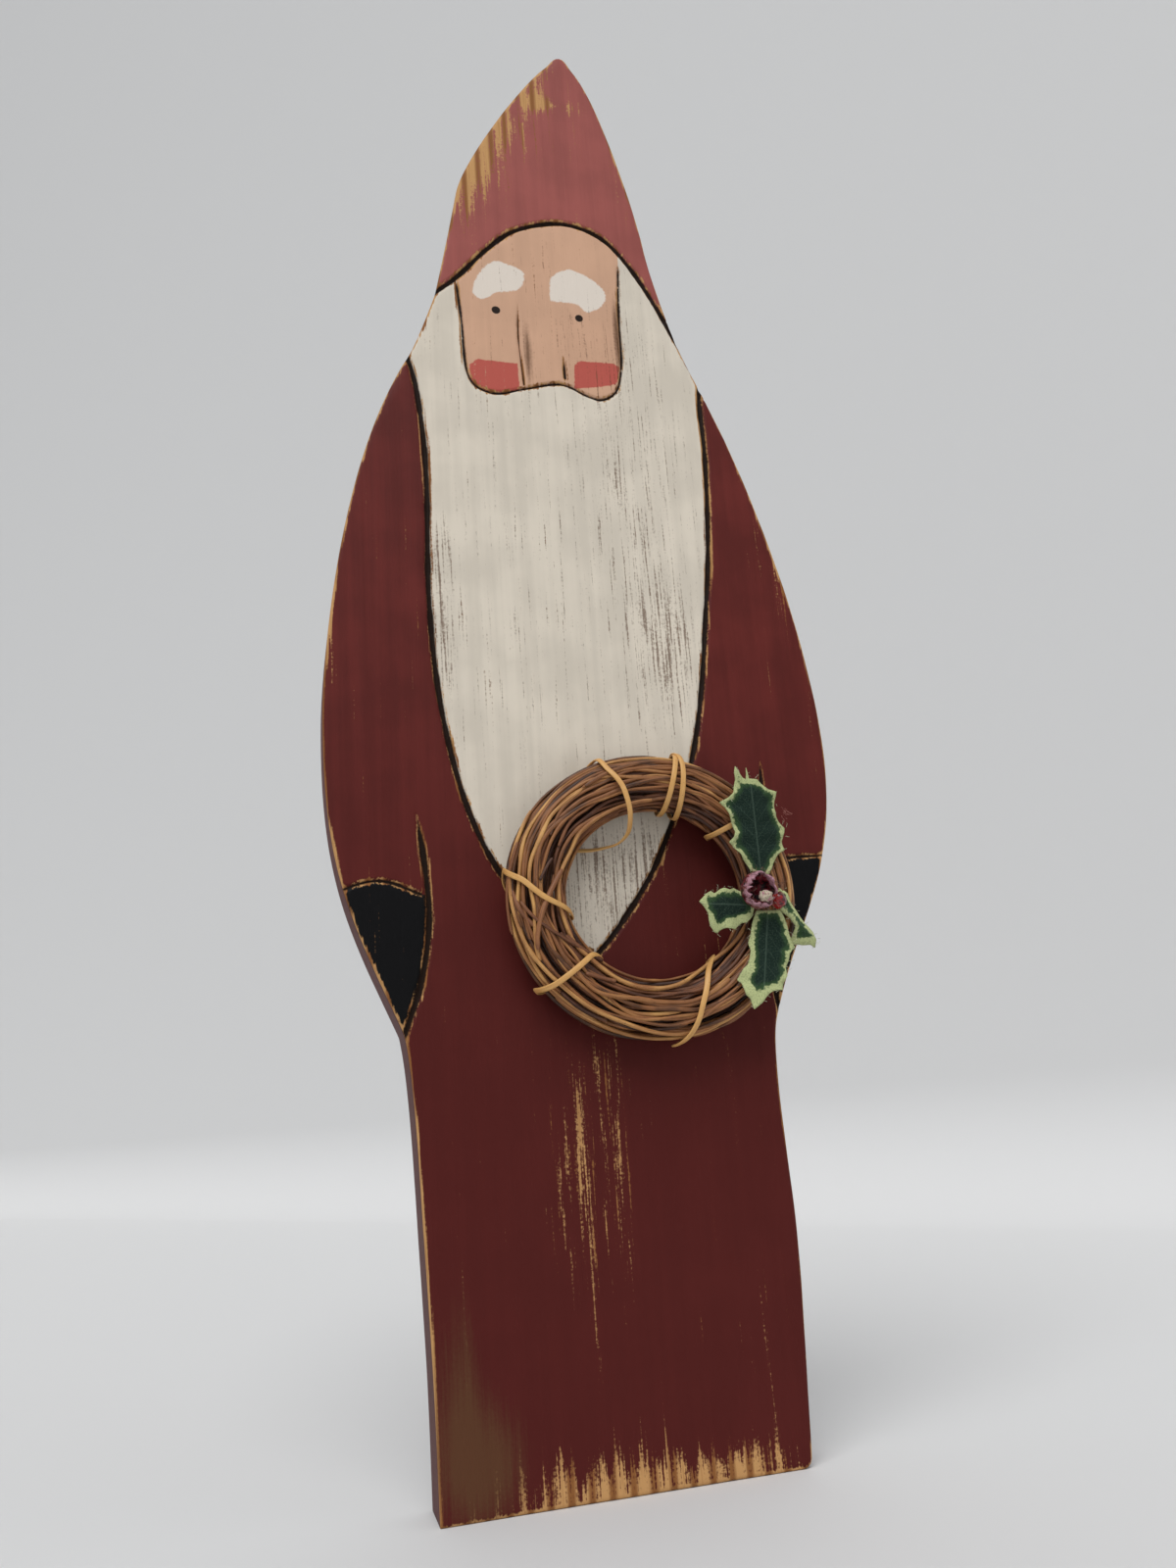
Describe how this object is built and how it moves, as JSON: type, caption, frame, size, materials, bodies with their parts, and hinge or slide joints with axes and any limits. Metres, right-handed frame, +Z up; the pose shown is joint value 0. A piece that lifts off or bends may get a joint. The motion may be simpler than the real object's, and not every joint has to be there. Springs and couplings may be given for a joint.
{
  "type": "wooden santa figurine",
  "caption": "Flat board figure of a bearded man in a tall pointed hat, with gouged lines and worn paint, a vine wreath and a holly sprig on its front, standing on its sawn foot.",
  "frame": {"origin": "middle of the whole box, at the height of the sawn foot", "axes": "+Z up the board from foot to hat, +X to the viewer's right, -Y out of the painted front"},
  "size_m": [0.1838, 0.0472, 0.5475],
  "materials": {
    "painted_wood": "flat paint sanded back to bare pine on the edges, black in the gouged lines",
    "vine": "dry twisted vine, satin bark",
    "pale_vine": "peeled vine, smooth and satin",
    "leaf_cloth": "printed stiff cloth, dark green with cream edges, frayed",
    "berry_skin": "worn flock over gloss, broken on one side",
    "berry_core": "crumbled foam"
  },
  "bodies": {
    "root": {"santa_board": "painted_wood", "wreath_ring": "vine", "tie_top": "pale_vine", "tie_upper_left": "pale_vine", "tie_left": "pale_vine", "tie_lower_left": "pale_vine", "tie_bottom": "pale_vine", "tie_upper_right": "pale_vine", "holly_leaf_top": "leaf_cloth", "holly_leaf_left": "leaf_cloth", "holly_leaf_bottom": "leaf_cloth", "holly_leaf_right": "leaf_cloth", "holly_berry_shell": "berry_skin", "holly_berry_red": "berry_skin", "holly_berry_core": "berry_core"}
  },
  "joints": []
}
